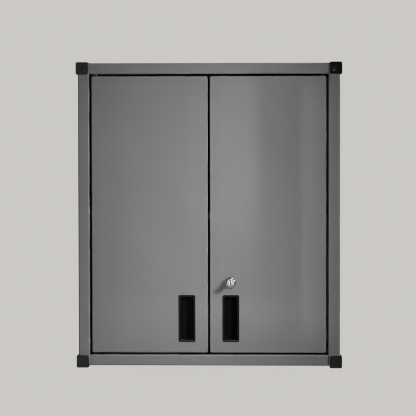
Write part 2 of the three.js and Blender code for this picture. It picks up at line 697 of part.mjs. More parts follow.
// The cam hangs down when the lock is open, and turns behind the left door to lock.
function lockCam() {
  const half = CAM_WIDTH / 2;
  const outline = new THREE.Shape();
  outline.absarc(LOCK_X, LOCK_Z, half, 0, Math.PI);
  outline.absarc(LOCK_X, LOCK_Z - CAM_REACH + half, half, Math.PI, 2 * Math.PI);
  const plate = prismAlongY(outline, [CAM.front, CAM.front + CAM.sheet]);
  const through = [CAM.front - 1, CAM.front + CAM.sheet + 1];
  return cut(plate, rodAlongY(CAM_SCREW.shank + CLEAR, [LOCK_X, LOCK_Z], through, SMALL_SIDES));
}

function camScrew() {
  const seat = CAM.front + CAM.sheet + CLEAR;
  return turnedAlongY([
    [0, PLUG.back - CAM_SCREW.depth],
    [CAM_SCREW.shank, PLUG.back - CAM_SCREW.depth],
    [CAM_SCREW.shank, seat],
    [CAM_SCREW.head, seat],
    [CAM_SCREW.head, seat + CAM_SCREW.headHeight * 0.6],
    [CAM_SCREW.head * 0.7, seat + CAM_SCREW.headHeight],
    [0, seat + CAM_SCREW.headHeight],
  ], [LOCK_X, LOCK_Z], SMALL_SIDES);
}

// The key stands upright in the plug. Its round bow hangs a little below the blade.
function key() {
  const front = LOCK_FACE - PLUG.proud;
  const half = KEYWAY.halfWidth - CLEAR;
  const bow = { y: front - 12, z: LOCK_Z - 4.5, radius: 10.8, hole: 3, holeInset: 4 };
  const blade = block(
    [LOCK_X - half, LOCK_X + half], [bow.y + bow.radius * 0.7, front + KEYWAY.depth - 1],
    [LOCK_Z - KEYWAY.halfHeight + CLEAR, LOCK_Z + KEYWAY.halfHeight - CLEAR]);
  const disc = new THREE.Shape().absarc(bow.y, bow.z, bow.radius, 0, 2 * Math.PI);
  disc.holes.push(new THREE.Path().absarc(bow.y - bow.holeInset, bow.z, bow.hole, 0, 2 * Math.PI, true));
  const head = prismAlongX(disc, [LOCK_X - half, LOCK_X + half]);
  return join(blade, head);
}

// ---- Assembly --------------------------------------------------------------------------------

function addCase() {
  addSidePair('side_panel', sidePanel(), GREY_PAINT);
  addPart('top_panel', topPanel(), GREY_PAINT);
  addPart('bottom_panel', topPanel(), GREY_PAINT, { mirrorZ: true });
  addPart('back_panel', backPanel(), GREY_PAINT);
  addSidePair('corner_cap_top', cornerCap(CAP_TOP_PROUD, true), CAP_PLASTIC);
  addSidePair('corner_cap_bottom', cornerCap(CAP_BOTTOM_PROUD, false), CAP_PLASTIC, { mirrorZ: true });
  addSidePair('cap_screw', capScrew(), BLACK_STEEL);
  addSidePair('hang_bracket', hangBracket(), ZINC);
  addSidePair('bracket_rivet_upper', bracketRivet(RIVET.levels[0]), ZINC);
  addSidePair('bracket_rivet_lower', bracketRivet(RIVET.levels[1]), ZINC);
  addPart('shelf', shelf(), GREY_PAINT);
  addSidePair('shelf_support', shelfSupport(), GREY_PAINT);
  addCornerSet('hinge_pin', hingePin(), BLACK_STEEL, ZINC);
  addSidePair('magnet_catch', railBlock(CATCH.halfWidth, DOOR_BACK + STRIKE.sheet + 2 * CLEAR), CAP_PLASTIC);
  addSidePair('door_stop', railBlock(STOP_HALF_WIDTH, DOOR_BACK + CLEAR), RUBBER, { mirrorZ: true });
}

function addDoors() {
  const lockHole = rodAlongY(BARREL.radius + CLEAR, [LOCK_X, LOCK_Z], [FRONT - 1, FRONT + 3]);
  const innerHole = rodAlongY(BARREL.radius + 1, [LOCK_X, LOCK_Z], [DOOR_BACK - 3, DOOR_BACK + 1]);
  addPart('door_shell_right', doorShell([lockHole]), DOOR_PAINT);
  addPart('door_shell_left', doorShell([]), DOOR_PAINT, { mirrorX: true });
  addPart('door_inner_panel_right', doorInnerPanel([innerHole]), DOOR_PAINT);
  addPart('door_inner_panel_left', doorInnerPanel([]), DOOR_PAINT, { mirrorX: true });
  addSidePair('handle_cup', handleCup(), CUP_PLASTIC);
  addCornerSet('hinge_bush', hingeBush(), NYLON);
  addSidePair('strike_plate', strikePlate(), ZINC);
  addPart('slide_bolt_upper', slideBolt(), ZINC);
  addPart('slide_bolt_lower', slideBolt(), ZINC, { mirrorZ: true });
  addPart('bolt_guide_upper', boltGuide(), ZINC);
  addPart('bolt_guide_lower', boltGuide(), ZINC, { mirrorZ: true });
}

function addLock() {
  addPart('lock_housing', lockHousing(), CHROME);
  addPart('lock_nut', lockNut(), ZINC);
  addPart('lock_plug', lockPlug(), CHROME);
  addPart('lock_cam', lockCam(), ZINC);
  addPart('cam_screw', camScrew(), ZINC);
  addPart('key', key(), CHROME);
}

addCase();
addDoors();
addLock();

export default cabinet;
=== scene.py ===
# The looks of a two-door steel wall cabinet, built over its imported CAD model.
# Shapes are drawn in millimetres and scaled to metres when they become pieces.
# +X is to the right, +Y points back to the wall, +Z is up, and the doors face -Y.

import json
import math

import bmesh
import bpy
from mathutils import Matrix, Vector


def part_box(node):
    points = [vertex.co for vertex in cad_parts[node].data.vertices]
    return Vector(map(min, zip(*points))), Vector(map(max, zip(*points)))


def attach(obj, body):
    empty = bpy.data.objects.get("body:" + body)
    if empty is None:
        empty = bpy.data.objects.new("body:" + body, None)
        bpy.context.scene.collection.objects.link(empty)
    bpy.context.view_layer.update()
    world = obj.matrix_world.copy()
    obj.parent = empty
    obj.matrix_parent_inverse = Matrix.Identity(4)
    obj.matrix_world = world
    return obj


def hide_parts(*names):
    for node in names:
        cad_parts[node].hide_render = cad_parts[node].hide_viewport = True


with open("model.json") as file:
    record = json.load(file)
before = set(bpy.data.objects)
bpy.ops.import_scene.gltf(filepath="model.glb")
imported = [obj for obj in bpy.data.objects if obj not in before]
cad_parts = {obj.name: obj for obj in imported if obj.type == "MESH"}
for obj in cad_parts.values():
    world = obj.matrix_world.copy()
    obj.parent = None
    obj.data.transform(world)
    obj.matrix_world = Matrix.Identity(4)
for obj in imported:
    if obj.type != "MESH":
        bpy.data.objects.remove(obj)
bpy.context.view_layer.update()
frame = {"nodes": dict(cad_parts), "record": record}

BODY_OF = {node: body for body, nodes in frame["record"]["behaviour"]["bodies"].items() for node in nodes}

# ---- Dimensions in millimetres ---------------------------------------------------------------

MM = 0.001
CLEAR = 0.3  # gap between pieces that touch

FRAME_SHEET = 1.5
STILE_WIDTH = 28
RAIL_HEIGHT = 27
FRAME_DEPTH = 23.25  # how far the stiles and rails turn back from the front plane
HEM = 13  # how far they turn in again behind that
FLANGE_WIDTH = 48  # rear flange of a side panel
REAR_FLANGE = 18  # rear flange of the top and bottom panels
BEND = 3.25  # bend radius at the middle of the sheet
BEND_STEPS = 8
SHEET_EDGE = 0.35  # softening of a cut sheet's edges

DOOR_SHEET = 1.2
DOOR_EDGE = 1.5
DOOR_BACK_EDGE = 0.9
DOOR_CORNER = 4
DOOR_LIP = 14

CUP_RIM = 5
CUP_DEPTH = 14
CUP_BODY_INSET = 2.3
CUP_CORNER = 4
CUP_BODY_CORNER = 3
CUP_WALL_RUN = 2.6  # the recess's walls reach their full depth over this distance
CUP_SHALLOW = 1.2  # depth at the foot of the ramp
CUP_RAMP_POWER = 0.62  # below 1 the ramp is steep at first and then levels out
# Distances from the cup's outer edge at which the recess is drawn, close together by the rim.
CUP_INSETS = (5.1, 5.3, 5.6, 6.0, 6.6, 7.4, 8.4, 9.6, 11, 12.5, 14, 15.5, 17, 18.5, 20, 20.4)

CAP_EDGE = 1.8
CAP_BACK_EDGE = 0.5
CAP_CORNER = 3.6
CAP_HOLLOW_DEPTH = 60  # past the back of the cap
SCREW_RECESS = 8.4
SCREW_RECESS_DEPTH = 1.2
SCREW_SHANK = 3
SCREW_HEAD = 6
SCREW_DOME_HEIGHT = 1.9
SCREW_DOME_ANGLE = 68  # degrees of a sphere that the head's dome takes
SCREW_SOCKET_RADIUS = 3.1
SCREW_SOCKET_DEPTH = 2.2

RIVET_SHANK = 2.5
RIVET_HEAD = 5
RIVET_DOME_HEIGHT = 2.2

PIN_SHANK = 2.2
PIN_COLLAR = 3.2
PIN_COLLAR_HEIGHT = 2.4
PIN_HEAD = 4.6
PIN_HEAD_HEIGHT = 2.5
BUSH_RADIUS = 3.8
BUSH_FLANGE = 4.8
BUSH_FLANGE_HEIGHT = 1.4

GUIDE_FOOT = 9
GUIDE_BEND = 0.9

LOCK_BORE = 5.8
LOCK_BARREL = 9.2
LOCK_FACE_RING = 9.75
PLUG_RADIUS = 5.5
KEYWAY_WIDTH = 2.6
KEYWAY_HEIGHT = 8
KEYWAY_DEPTH = 22
KEY_CUTS = (0.9, 2.1, 1.4, 2.4, 1.1)  # depth of each cut in the blade
KEY_HOLE_RADIUS = 3
KEY_HOLE_INSET = 4  # from the middle of the bow

ROUND_SIDES = 64


def span(node):
    """A CAD node's box in millimetres, as (lowest, highest) for x, y and z."""
    low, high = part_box(node)
    return [(low[axis] / MM, high[axis] / MM) for axis in range(3)]


def middle(pair):
    return (pair[0] + pair[1]) / 2


BODY_X = span("side_panel_right")[0][1]
BODY_Z = span("side_panel_right")[2][1]
FRONT = span("door_shell_right")[1][0]
FRAME_BACK = FRONT + FRAME_DEPTH
OPENING_X = BODY_X - STILE_WIDTH
OPENING_Z = BODY_Z - RAIL_HEIGHT
LOCK_X = middle(span("lock_housing")[0])
LOCK_Z = middle(span("lock_housing")[2])

# ---- Mesh helpers ----------------------------------------------------------------------------


def loft(rings, closed=False):
    """A skin over rings that have the same number of points. Its ends are capped, unless the
    rings come back round to the first."""
    mesh = bmesh.new()
    rows = [[mesh.verts.new(point) for point in ring] for ring in rings]
    count = len(rows[0])
    pairs = list(zip(rows, rows[1:]))
    if closed:
        pairs.append((rows[-1], rows[0]))
    for near, far in pairs:
        for i in range(count):
            j = (i + 1) % count
            mesh.faces.new((near[i], near[j], far[j], far[i]))
    if not closed:
        mesh.faces.new(rows[0][::-1])
        mesh.faces.new(rows[-1])
    return mesh


def rounded_outline(half_u, half_v, radius, steps=6, side_steps=1):
    """Points round a rectangle with round corners, about (0, 0)."""
    radius = max(min(radius, half_u - 0.01, half_v - 0.01), 0.01)
    corners = [(1, -1, -90), (1, 1, 0), (-1, 1, 90), (-1, -1, 180)]
    points = []
    for side_u, side_v, start in corners:
        for step in range(steps + 1):
            angle = math.radians(start + 90 * step / steps)
            points.append((
                side_u * (half_u - radius) + radius * math.cos(angle),
                side_v * (half_v - radius) + radius * math.sin(angle),
            ))
    if side_steps == 1:
        return points
    return with_side_points(points, steps, side_steps)


def with_side_points(points, steps, side_steps):
    """The same outline with more points along its straight sides."""
    fuller = []
    for index, point in enumerate(points):
        fuller.append(point)
        if (index + 1) % (steps + 1) == 0:
            after = points[(index + 1) % len(points)]
            for step in range(1, side_steps):
                share = step / side_steps
                fuller.append(tuple(a + (b - a) * share for a, b in zip(point, after)))
    return fuller


def ring_facing_front(centre, outline, y):
    """An outline in x and z, at one y."""
    return [(centre[0] + u, y, centre[1] + v) for u, v in outline]


def prism(outline, axis, reach):
    """An outline drawn out along an axis between two places."""
    place = {
        "x": lambda u, v, along: (along, u, v),
        "y": lambda u, v, along: (u, along, v),
        "z": lambda u, v, along: (u, v, along),
    }[axis]
    return loft([[place(u, v, along) for u, v in outline] for along in reach])


def block(x, y, z):
    return prism([(x[0], y[0]), (x[1], y[0]), (x[1], y[1]), (x[0], y[1])], "z", z)


def turned(profile, axis, centre, sides=ROUND_SIDES, closed=False):
    """A profile of (radius, place along the axis) turned about a line along y or z."""
    rings = []
    for radius, along in profile:
        ring = []
        for side in range(sides):
            angle = 2 * math.pi * side / sides
            u = centre[0] + max(radius, 0.01) * math.cos(angle)
            v = centre[1] + max(radius, 0.01) * math.sin(angle)
            ring.append((u, along, v) if axis == "y" else (u, v, along))
        rings.append(ring)
    return loft(rings, closed)


def rod(radius, axis, centre, reach, sides=ROUND_SIDES):
    return turned([(radius, along) for along in reach], axis, centre, sides)


def quarter(radius, steps=6):
    """Steps of a quarter circle as (distance still to go sideways, distance gone in)."""
    angles = [math.pi / 2 * step / steps for step in range(steps + 1)]
    return [(radius * (1 - math.sin(angle)), radius * (1 - math.cos(angle))) for angle in angles]


def folded_outline(path, thickness, bend=BEND):
    """The outline of a folded sheet. The path runs along the middle of the sheet."""
    points = [Vector(point) for point in path]
    runs = [(b - a).normalized() for a, b in zip(points, points[1:])]
    line = [(points[0], normal_of(runs[0]))]
    for point, before, after in zip(points[1:], runs, runs[1:]):
        turn = before.angle_signed(after) * -1
        side = math.copysign(1, turn)
        centre = point - before * bend * math.tan(abs(turn) / 2) + normal_of(before) * side * bend
        for step in range(BEND_STEPS + 1):
            normal = Matrix.Rotation(turn * step / BEND_STEPS, 2) @ normal_of(before)
            line.append((centre - normal * side * bend, normal))
    line.append((points[-1], normal_of(runs[-1])))
    outer = [at + normal * (thickness / 2) for at, normal in line]
    inner = [at - normal * (thickness / 2) for at, normal in line]
    return [tuple(point) for point in outer + inner[::-1]]


def normal_of(run):
    return Vector((-run.y, run.x))


def mirrored(mesh, x=False, z=False):
    """A mirrored copy of a drawn mesh. The first mesh is left as it is."""
    copy = mesh.copy()
    bmesh.ops.scale(copy, vec=(-1 if x else 1, 1, -1 if z else 1), verts=copy.verts)
    return copy


def as_object(name, mesh):
    """A drawn mesh as an object in metres."""
    bmesh.ops.remove_doubles(mesh, verts=mesh.verts, dist=0.002)
    bmesh.ops.recalc_face_normals(mesh, faces=mesh.faces)
    bmesh.ops.scale(mesh, vec=(MM, MM, MM), verts=mesh.verts)
    data = bpy.data.meshes.new(name)
    mesh.to_mesh(data)
    mesh.free()
    thing = bpy.data.objects.new(name, data)
    bpy.context.scene.collection.objects.link(thing)
    return thing


def carve(thing, cutters):
    """Cuts each drawn shape out of an object."""
    tools = [as_object("cutter", cutter) for cutter in cutters]
    for tool in tools:
        step = thing.modifiers.new("carve", "BOOLEAN")
        step.operation = "DIFFERENCE"
        step.solver = "EXACT"
        step.object = tool
    settle(thing)
    for tool in tools:
        bpy.data.objects.remove(tool)


def settle(thing):
    """Applies an object's modifiers."""
    depsgraph = bpy.context.evaluated_depsgraph_get()
    data = bpy.data.meshes.new_from_object(thing.evaluated_get(depsgraph))
    thing.modifiers.clear()
    thing.data = data
    data.name = thing.name


def soften(thing, width, segments=3):
    """Rounds an object's sharp edges a little, as made edges are."""
    edge = thing.modifiers.new("soft edges", "BEVEL")
    edge.width = width * MM
    edge.segments = segments
    edge.limit_method = "ANGLE"
    edge.angle_limit = math.radians(35)
    edge.use_clamp_overlap = True


def smooth(thing):
    """Shades an object smooth, with its flat faces kept flat."""
    thing.data.shade_smooth()
    thing.data.set_sharp_from_angle(angle=math.radians(50))
    even = thing.modifiers.new("even shading", "WEIGHTED_NORMAL")
    even.keep_sharp = True


def add_piece(name, mesh, material, node, cutters=(), edge=0.0):
    """Makes a piece that stands for a CAD node, and rides on the same body."""
    thing = as_object(name, mesh)
    if cutters:
        carve(thing, cutters)
    if edge:
        soften(thing, edge)
        settle(thing)
    smooth(thing)
    settle(thing)
    thing.data.materials.clear()
    thing.data.materials.append(material)
    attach(thing, BODY_OF[node])
    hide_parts(node)
    return thing


def finish_node(node, material, edge):
    """Gives a CAD node that is already right its material and softened edges."""
    thing = frame["nodes"][node]
    for place in thing.material_slots:
        place.material = material
    soften(thing, edge)


def add_side_pair(name, node, draw, material, cutters=lambda: [], edge=0.0, flip_z=False):
    """A right-hand piece and its mirrored twin on the left."""
    for side in ("right", "left"):
        flips = {"x": side == "left", "z": flip_z}
        add_piece(f"{name}_{side}", mirrored(draw(), **flips), material, f"{node}_{side}",
                  [mirrored(cutter, **flips) for cutter in cutters()], edge)


def add_corner_set(name, node, draw, material, upper_left_glint_material=None):
    """An upper right piece and its three mirrored copies. The upper left one may have a brighter material of
    its own, as a painted glint on one of four like parts."""
    for side in ("right", "left"):
        for level in ("upper", "lower"):
            mesh = mirrored(draw(), x=side == "left", z=level == "lower")
            painted_glint = upper_left_glint_material and (side, level) == ("left", "upper")
            add_piece(f"{name}_{side}_{level}", mesh, upper_left_glint_material if painted_glint else material,
                      f"{node}_{side}_{level}")


# ---- Materials -------------------------------------------------------------------------------


def new_material(slot, colour, roughness, metallic=0.0):
    """A material with its plain values set on the shader. It carries the name of its slot."""
    material = bpy.data.materials.new(slot)
    material.use_nodes = True
    material["slot"] = slot
    shader = shader_of(material)
    shader.inputs["Base Color"].default_value = (*colour, 1)
    shader.inputs["Roughness"].default_value = roughness
    shader.inputs["Metallic"].default_value = metallic
    return material


def shader_of(material):
    return material.node_tree.nodes["Principled BSDF"]


def add_node(material, kind, **settings):
    made = material.node_tree.nodes.new(kind)
    for name, value in settings.items():
        setattr(made, name, value)
    return made


def wire(material, output, entry):
    material.node_tree.links.new(output, entry)


def placed(material, stretch):
    """The object's own space in metres, stretched along its axes."""
    place = add_node(material, "ShaderNodeTexCoord")
    mapping = add_node(material, "ShaderNodeMapping")
    mapping.inputs["Scale"].default_value = stretch
    wire(material, place.outputs["Object"], mapping.inputs["Vector"])
    return mapping.outputs["Vector"]


def noise(material, per_metre, detail=2.0, stretch=(1, 1, 1)):
    """Cloudy noise with so many features to the metre."""
    texture = add_node(material, "ShaderNodeTexNoise")
    texture.inputs["Scale"].default_value = per_metre
    texture.inputs["Detail"].default_value = detail
    wire(material, placed(material, stretch), texture.inputs["Vector"])
    return texture.outputs["Fac"]


def cells(material, per_metre):
    """A random value for each of the crystals of a plated surface."""
    texture = add_node(material, "ShaderNodeTexVoronoi")
    texture.inputs["Scale"].default_value = per_metre
    wire(material, placed(material, (1, 1, 1)), texture.inputs["Vector"])
    return texture.outputs["Color"]


def fitted(material, value, low, high, start=0.3, end=0.7):
    """Maps a value between start and end to between low and high."""
    fit = add_node(material, "ShaderNodeMapRange")
    wire(material, value, fit.inputs["Value"])
    for name, number in (("From Min", start), ("From Max", end), ("To Min", low), ("To Max", high)):
        fit.inputs[name].default_value = number
    return fit.outputs["Result"]


def added(material, first, second):
    """The sum of two values."""
    total = add_node(material, "ShaderNodeMath", operation="ADD")
    wire(material, first, total.inputs[0])
    wire(material, second, total.inputs[1])
    return total.outputs[0]


def vary_colour(material, value, dark, light):
    """Lets the colour run from dark to light with a value."""
    blend = add_node(material, "ShaderNodeMix", data_type="RGBA")
    wire(material, value, blend.inputs["Factor"])
    colour_entries = [entry for entry in blend.inputs if entry.type == "RGBA"]
    colour_entries[0].default_value = (*dark, 1)
    colour_entries[1].default_value = (*light, 1)
    colour = next(output for output in blend.outputs if output.type == "RGBA")
    wire(material, colour, shader_of(material).inputs["Base Color"])


def vary_roughness(material, value):
    wire(material, value, shader_of(material).inputs["Roughness"])


def add_bump(material, height, depth_mm):
    bump = add_node(material, "ShaderNodeBump")
    bump.inputs["Distance"].default_value = depth_mm * MM
    bump.inputs["Strength"].default_value = 1.0
    wire(material, height, bump.inputs["Height"])
    wire(material, bump.outputs["Normal"], shader_of(material).inputs["Normal"])


def scaled(colour, factor):
    return tuple(channel * factor for channel in colour)


def powder_coat(slot, colour):
    """Satin powder coat: a fine orange peel, faint clouds in the tone and a little uneven gloss."""
    material = new_material(slot, colour, 0.42)
    shader_of(material).inputs["Specular IOR Level"].default_value = 0.5
    clouds = noise(material, 7, detail=3)
    grain = noise(material, 1900, detail=1)
    tone = added(material, fitted(material, clouds, 0, 0.55), fitted(material, grain, 0, 0.45))
    vary_colour(material, tone, scaled(colour, 0.94), scaled(colour, 1.06))
    handled = noise(material, 16, detail=5)
    vary_roughness(material, fitted(material, handled, 0.39, 0.46))
    add_bump(material, noise(material, 620, detail=2), 0.035)
    return material


def moulded_plastic(slot, colour, gloss, polish, texture_mm):
    """Moulded black plastic with a fine spark-eroded grain."""
    material = new_material(slot, colour, gloss)
    handled = noise(material, 40, detail=4)
    vary_roughness(material, fitted(material, handled, gloss, polish))
    cloud = fitted(material, noise(material, 260), 0, 1)
    vary_colour(material, cloud, scaled(colour, 0.8), scaled(colour, 1.25))
    add_bump(material, noise(material, 2400, detail=1), texture_mm)
    return material


def polished_rim_plastic(slot, rim_colour, shaded_recess_colour):
    """Black plastic, polished on the rim and dull down in the recess. Down in the recess it is also painted
    darker and less shiny, as painted shade.
    """
    material = new_material(slot, rim_colour, 0.2)
    rim, recess = (FRONT + 0.3) * MM, (FRONT + 3.5) * MM
    inside = fitted(material, depth_from_front(material), 0, 1, rim, recess)
    cloud = fitted(material, noise(material, 260), 0, 0.15)
    # Painted shade: the colour runs from the rim's colour to a darker one with depth into the recess.
    tone = added(material, fitted(material, inside, 0, 0.85, 0, 1), cloud)
    vary_colour(material, tone, rim_colour, shaded_recess_colour)
    handled = fitted(material, noise(material, 40, detail=4), 0.14, 0.22)
    vary_roughness(material, added(material, handled, fitted(material, inside, 0, 0.3, 0, 1)))
    # Painted shade: the reflection is dimmed down in the recess.
    dimmed_recess_shine = fitted(material, inside, 0.6, 0.06, 0, 1)
    wire(material, dimmed_recess_shine, shader_of(material).inputs["Specular IOR Level"])
    add_bump(material, noise(material, 2400, detail=1), 0.006)
    return material


def depth_from_front(material):
    """How far back a point lies, in the object's own space."""
    place = add_node(material, "ShaderNodeTexCoord")
    split = add_node(material, "ShaderNodeSeparateXYZ")
    wire(material, place.outputs["Object"], split.inputs["Vector"])
    return split.outputs["Y"]


def plated_steel(slot, colour, low, high, crystals_per_metre):
    """Bright zinc plate: faint crystals, drawn a little along the sheet, and uneven gloss."""
    material = new_material(slot, colour, low, metallic=1.0)
    crystals = cells(material, crystals_per_metre)
    vary_colour(material, fitted(material, crystals, 0, 1, 0, 1), scaled(colour, 0.86), scaled(colour, 1.08))
    drawn = noise(material, 90, detail=4, stretch=(1, 1, 14))
    vary_roughness(material, fitted(material, drawn, low, high))
    add_bump(material, noise(material, 700, detail=3), 0.01)
    return material


def polished_chrome(slot, colour):
    """Chrome over a die casting: nearly a mirror, with fine polishing marks."""
    material = new_material(slot, colour, 0.1, metallic=1.0)
    marks = noise(material, 800, detail=6)
    vary_roughness(material, fitted(material, marks, 0.07, 0.16))
    vary_colour(material, fitted(material, noise(material, 60), 0, 1), scaled(colour, 0.93), colour)
    add_bump(material, noise(material, 420, detail=2), 0.006)
    return material


def black_oxide(slot, colour):
    """Blackened steel, rubbed a little brighter in places."""
    material = new_material(slot, colour, 0.4, metallic=0.7)
    rubbed = noise(material, 300, detail=5)
    vary_colour(material, fitted(material, rubbed, 0, 1), colour, scaled(colour, 2.4))
    vary_roughness(material, fitted(material, rubbed, 0.5, 0.38))
    add_bump(material, noise(material, 1600), 0.01)
    return material


def black_nylon(slot, colour):
    """Waxy black nylon."""
    material = new_material(slot, colour, 0.45)
    shader_of(material).inputs["Subsurface Weight"].default_value = 0.1
    shader_of(material).inputs["Subsurface Scale"].default_value = 0.001
    cloud = fitted(material, noise(material, 240), 0, 1)
    vary_colour(material, cloud, scaled(colour, 0.8), scaled(colour, 1.2))
    vary_roughness(material, fitted(material, noise(material, 500), 0.4, 0.52))
    add_bump(material, noise(material, 1400), 0.012)
    return material


def soft_rubber(slot, colour):
    """Dull black rubber with a little bloom on it."""
    material = new_material(slot, colour, 0.85)
    bloom = noise(material, 120, detail=6)
    vary_colour(material, fitted(material, bloom, 0, 1), colour, scaled(colour, 2.2))
    vary_roughness(material, fitted(material, bloom, 0.75, 0.92))
    add_bump(material, noise(material, 1500, detail=3), 0.03)
    return material


# Case and doors have the same paint. The case's grey is a little darker as painted shade on the frame.
SHADED_CASE_GREY = (0.163, 0.162, 0.1625)
DOOR_GREY = (0.167, 0.166, 0.1665)

case_paint = powder_coat("case_paint", SHADED_CASE_GREY)
door_paint = powder_coat("door_paint", DOOR_GREY)
cap_plastic = moulded_plastic("cap_plastic", (0.004, 0.004, 0.0044), 0.2, 0.26, 0.02)
# The second colour is painted shade for the recess, not a second plastic.
cup_plastic = polished_rim_plastic("cup_plastic", (0.0025, 0.0025, 0.0028), (0.001, 0.001, 0.0011))
zinc_steel = plated_steel("zinc_steel", (0.60, 0.61, 0.63), 0.3, 0.42, 260)
chrome = polished_chrome("chrome", (0.78, 0.78, 0.79))
black_steel = black_oxide("black_steel", (0.03, 0.03, 0.032))
nylon = black_nylon("nylon", (0.02, 0.02, 0.021))
rubber = soft_rubber("rubber", (0.02, 0.02, 0.02))

# ---- Case ------------------------------------------------------------------------------------

HOOK_ROWS = (294, 306)  # two rows on each side, one for each column of the upright's slots
HOOK_LEVELS = (320, 288, -320)  # multiples of the uprights' 32 mm slot pitch
HOOK_SLOT = (1.4, 7.4)  # half width and half height
RIB_X = 140  # from the centre line to the middle of each pressed rib of the back panel
RIB_HALF_WIDTH = 20
RIB_SLOPE = 5
RIB_BEND = 1.5
THIN_SHEET = 1.2  # the back panel, the shelf and the bolt guides
SHELF_TURN_IN = 13
SHELF_BEND = 1.8


def side_panel():
    """One folded sheet: rear flange, wall, stile and the stile's hem."""
    half = FRAME_SHEET / 2
    wall = BODY_X - half
    outline = folded_outline([
        (BODY_X - FLANGE_WIDTH, -half),
        (wall, -half),
        (wall, FRONT + half),
        (OPENING_X + half, FRONT + half),
        (OPENING_X + half, FRAME_BACK - half),
        (OPENING_X + HEM, FRAME_BACK - half),
    ], FRAME_SHEET)
    return prism(outline, "z", (-BODY_Z, BODY_Z))


def side_panel_cutters():
    """The hook slots, the rivet holes and the hole for the cap's screw."""
    half, height = HOOK_SLOT
    slots = [block((x - half, x + half), (-FRAME_SHEET - 1, 1), (z - height, z + height))
             for x in HOOK_ROWS for z in HOOK_LEVELS]
    rivets = [rod(RIVET_SHANK + CLEAR, "y", rivet_centre(level), (-6, 1), 24)
              for level in ("upper", "lower")]
    screw = rod(SCREW_SHANK + CLEAR, "y", screw_centre(), (FRONT - 1, FRONT + 6), 24)
    return slots + rivets + [screw]


def rivet_centre(level):
    box = span(f"bracket_rivet_{level}_right")
    return middle(box[0]), middle(box[2])


def screw_centre():
    box = span("cap_screw_right")
    return middle(box[0]), middle(box[2])


def top_panel():
    """One folded sheet: rear flange, top, rail and the rail's hem."""
    half = FRAME_SHEET / 2
    sheet = BODY_Z - half
    outline = folded_outline([
        (-half, BODY_Z - REAR_FLANGE),
        (-half, sheet),
        (FRONT + half, sheet),
        (FRONT + half, OPENING_Z + half),
        (FRAME_BACK - half, OPENING_Z + half),
        (FRAME_BACK - half, OPENING_Z + HEM),
    ], FRAME_SHEET)
    return prism(outline, "x", span("top_panel")[0])


def top_panel_cutters():
    """Notches for the stiles and the side panels' flanges, and the holes for the hinge pins."""
    cutters = []
    heights = (OPENING_Z - 1, BODY_Z + 1)
    for side in (-1, 1):
        at_stile = sorted((side * (OPENING_X - CLEAR), side * (BODY_X + 1)))
        at_flange = sorted((side * (BODY_X - FLANGE_WIDTH - CLEAR), side * (BODY_X + 1)))
        cutters.append(block(at_stile, (FRONT - 1, FRAME_BACK + CLEAR), heights))
        cutters.append(block(at_flange, (-FRAME_SHEET - BEND, 1), heights))
        pin = (side * hinge_centre()[0], hinge_centre()[1])
        cutters.append(rod(PIN_SHANK + CLEAR, "z", pin, (OPENING_Z - 1, OPENING_Z + 4), 24))
    return cutters


def hinge_centre():
    box = span("hinge_pin_right_upper")
    return middle(box[0]), middle(box[1])


def back_panel():
    """A sheet with two pressed ribs that stand into the case."""
    (left, right), (front, back), height = span("back_panel")
    plane, crest = back - THIN_SHEET / 2, front + THIN_SHEET / 2
    crest_half = RIB_HALF_WIDTH - RIB_SLOPE
    path = [(left, plane)]
    for x in (-RIB_X, RIB_X):
        path += [
            (x - RIB_HALF_WIDTH, plane),
            (x - crest_half, crest),
            (x + crest_half, crest),
            (x + RIB_HALF_WIDTH, plane),
        ]
    path.append((right, plane))
    return prism(folded_outline(path, THIN_SHEET, RIB_BEND), "z", height)


def corner_cap(node):
    """A moulded corner with rounded edges, hollow where the case's corner goes into it."""
    x, (front, back), z = span(node)
    centre = (middle(x), middle(z))
    half_x, half_z = (x[1] - x[0]) / 2, (z[1] - z[0]) / 2
    rings = []
    for inset, depth in quarter(CAP_EDGE):
        outline = rounded_outline(half_x - inset, half_z - inset, CAP_CORNER - inset * 0.7)
        rings.append(ring_facing_front(centre, outline, front + depth))
    for inset, depth in reversed(quarter(CAP_BACK_EDGE, 3)):
        outline = rounded_outline(half_x - inset, half_z - inset, CAP_CORNER - inset)
        rings.append(ring_facing_front(centre, outline, back - depth))
    return loft(rings)


def cap_hollow():
    reach = (FRONT - CLEAR, FRONT + CAP_HOLLOW_DEPTH)
    return block((0, BODY_X + CLEAR), reach, (0, BODY_Z + CLEAR))


def top_cap_cutters():
    """The hollow, and a round recess with a softened rim for the screw's head."""
    face = span("corner_cap_top_right")[1][0]
    recess = turned([
        (SCREW_RECESS + 0.9, face - 1),
        (SCREW_RECESS + 0.5, face - 0.01),
        (SCREW_RECESS + 0.12, face + 0.15),
        (SCREW_RECESS, face + 0.5),
        (SCREW_RECESS, face + SCREW_RECESS_DEPTH),
    ], "y", screw_centre())
    hole = rod(SCREW_SHANK + CLEAR, "y", screw_centre(), (face - 1, FRONT + 1), 24)
    return [cap_hollow(), recess, hole]


def cap_screw():
    """A button head with a softened rim, on its shank."""
    top, tip = span("cap_screw_right")[1]
    seat = span("corner_cap_top_right")[1][0] + SCREW_RECESS_DEPTH - CLEAR
    whole = math.radians(SCREW_DOME_ANGLE)
    dome = []
    for step in range(9):
        angle = math.radians(SCREW_DOME_ANGLE * step / 8)
        radius = SCREW_HEAD * math.sin(angle) / math.sin(whole) * 0.97
        drop = SCREW_DOME_HEIGHT * (1 - math.cos(angle)) / (1 - math.cos(whole))
        dome.append((radius, top + drop))
    rim = [(SCREW_HEAD, top + SCREW_DOME_HEIGHT + 0.25), (SCREW_HEAD, seat), (SCREW_SHANK, seat)]
    end = [(SCREW_SHANK, tip - 0.8), (SCREW_SHANK - 0.8, tip)]
    return turned(dome + rim + end, "y", screw_centre())


def screw_socket():
    top = span("cap_screw_right")[1][0]
    return [rod(SCREW_SOCKET_RADIUS, "y", screw_centre(), (top - 1, top + SCREW_SOCKET_DEPTH), 6)]


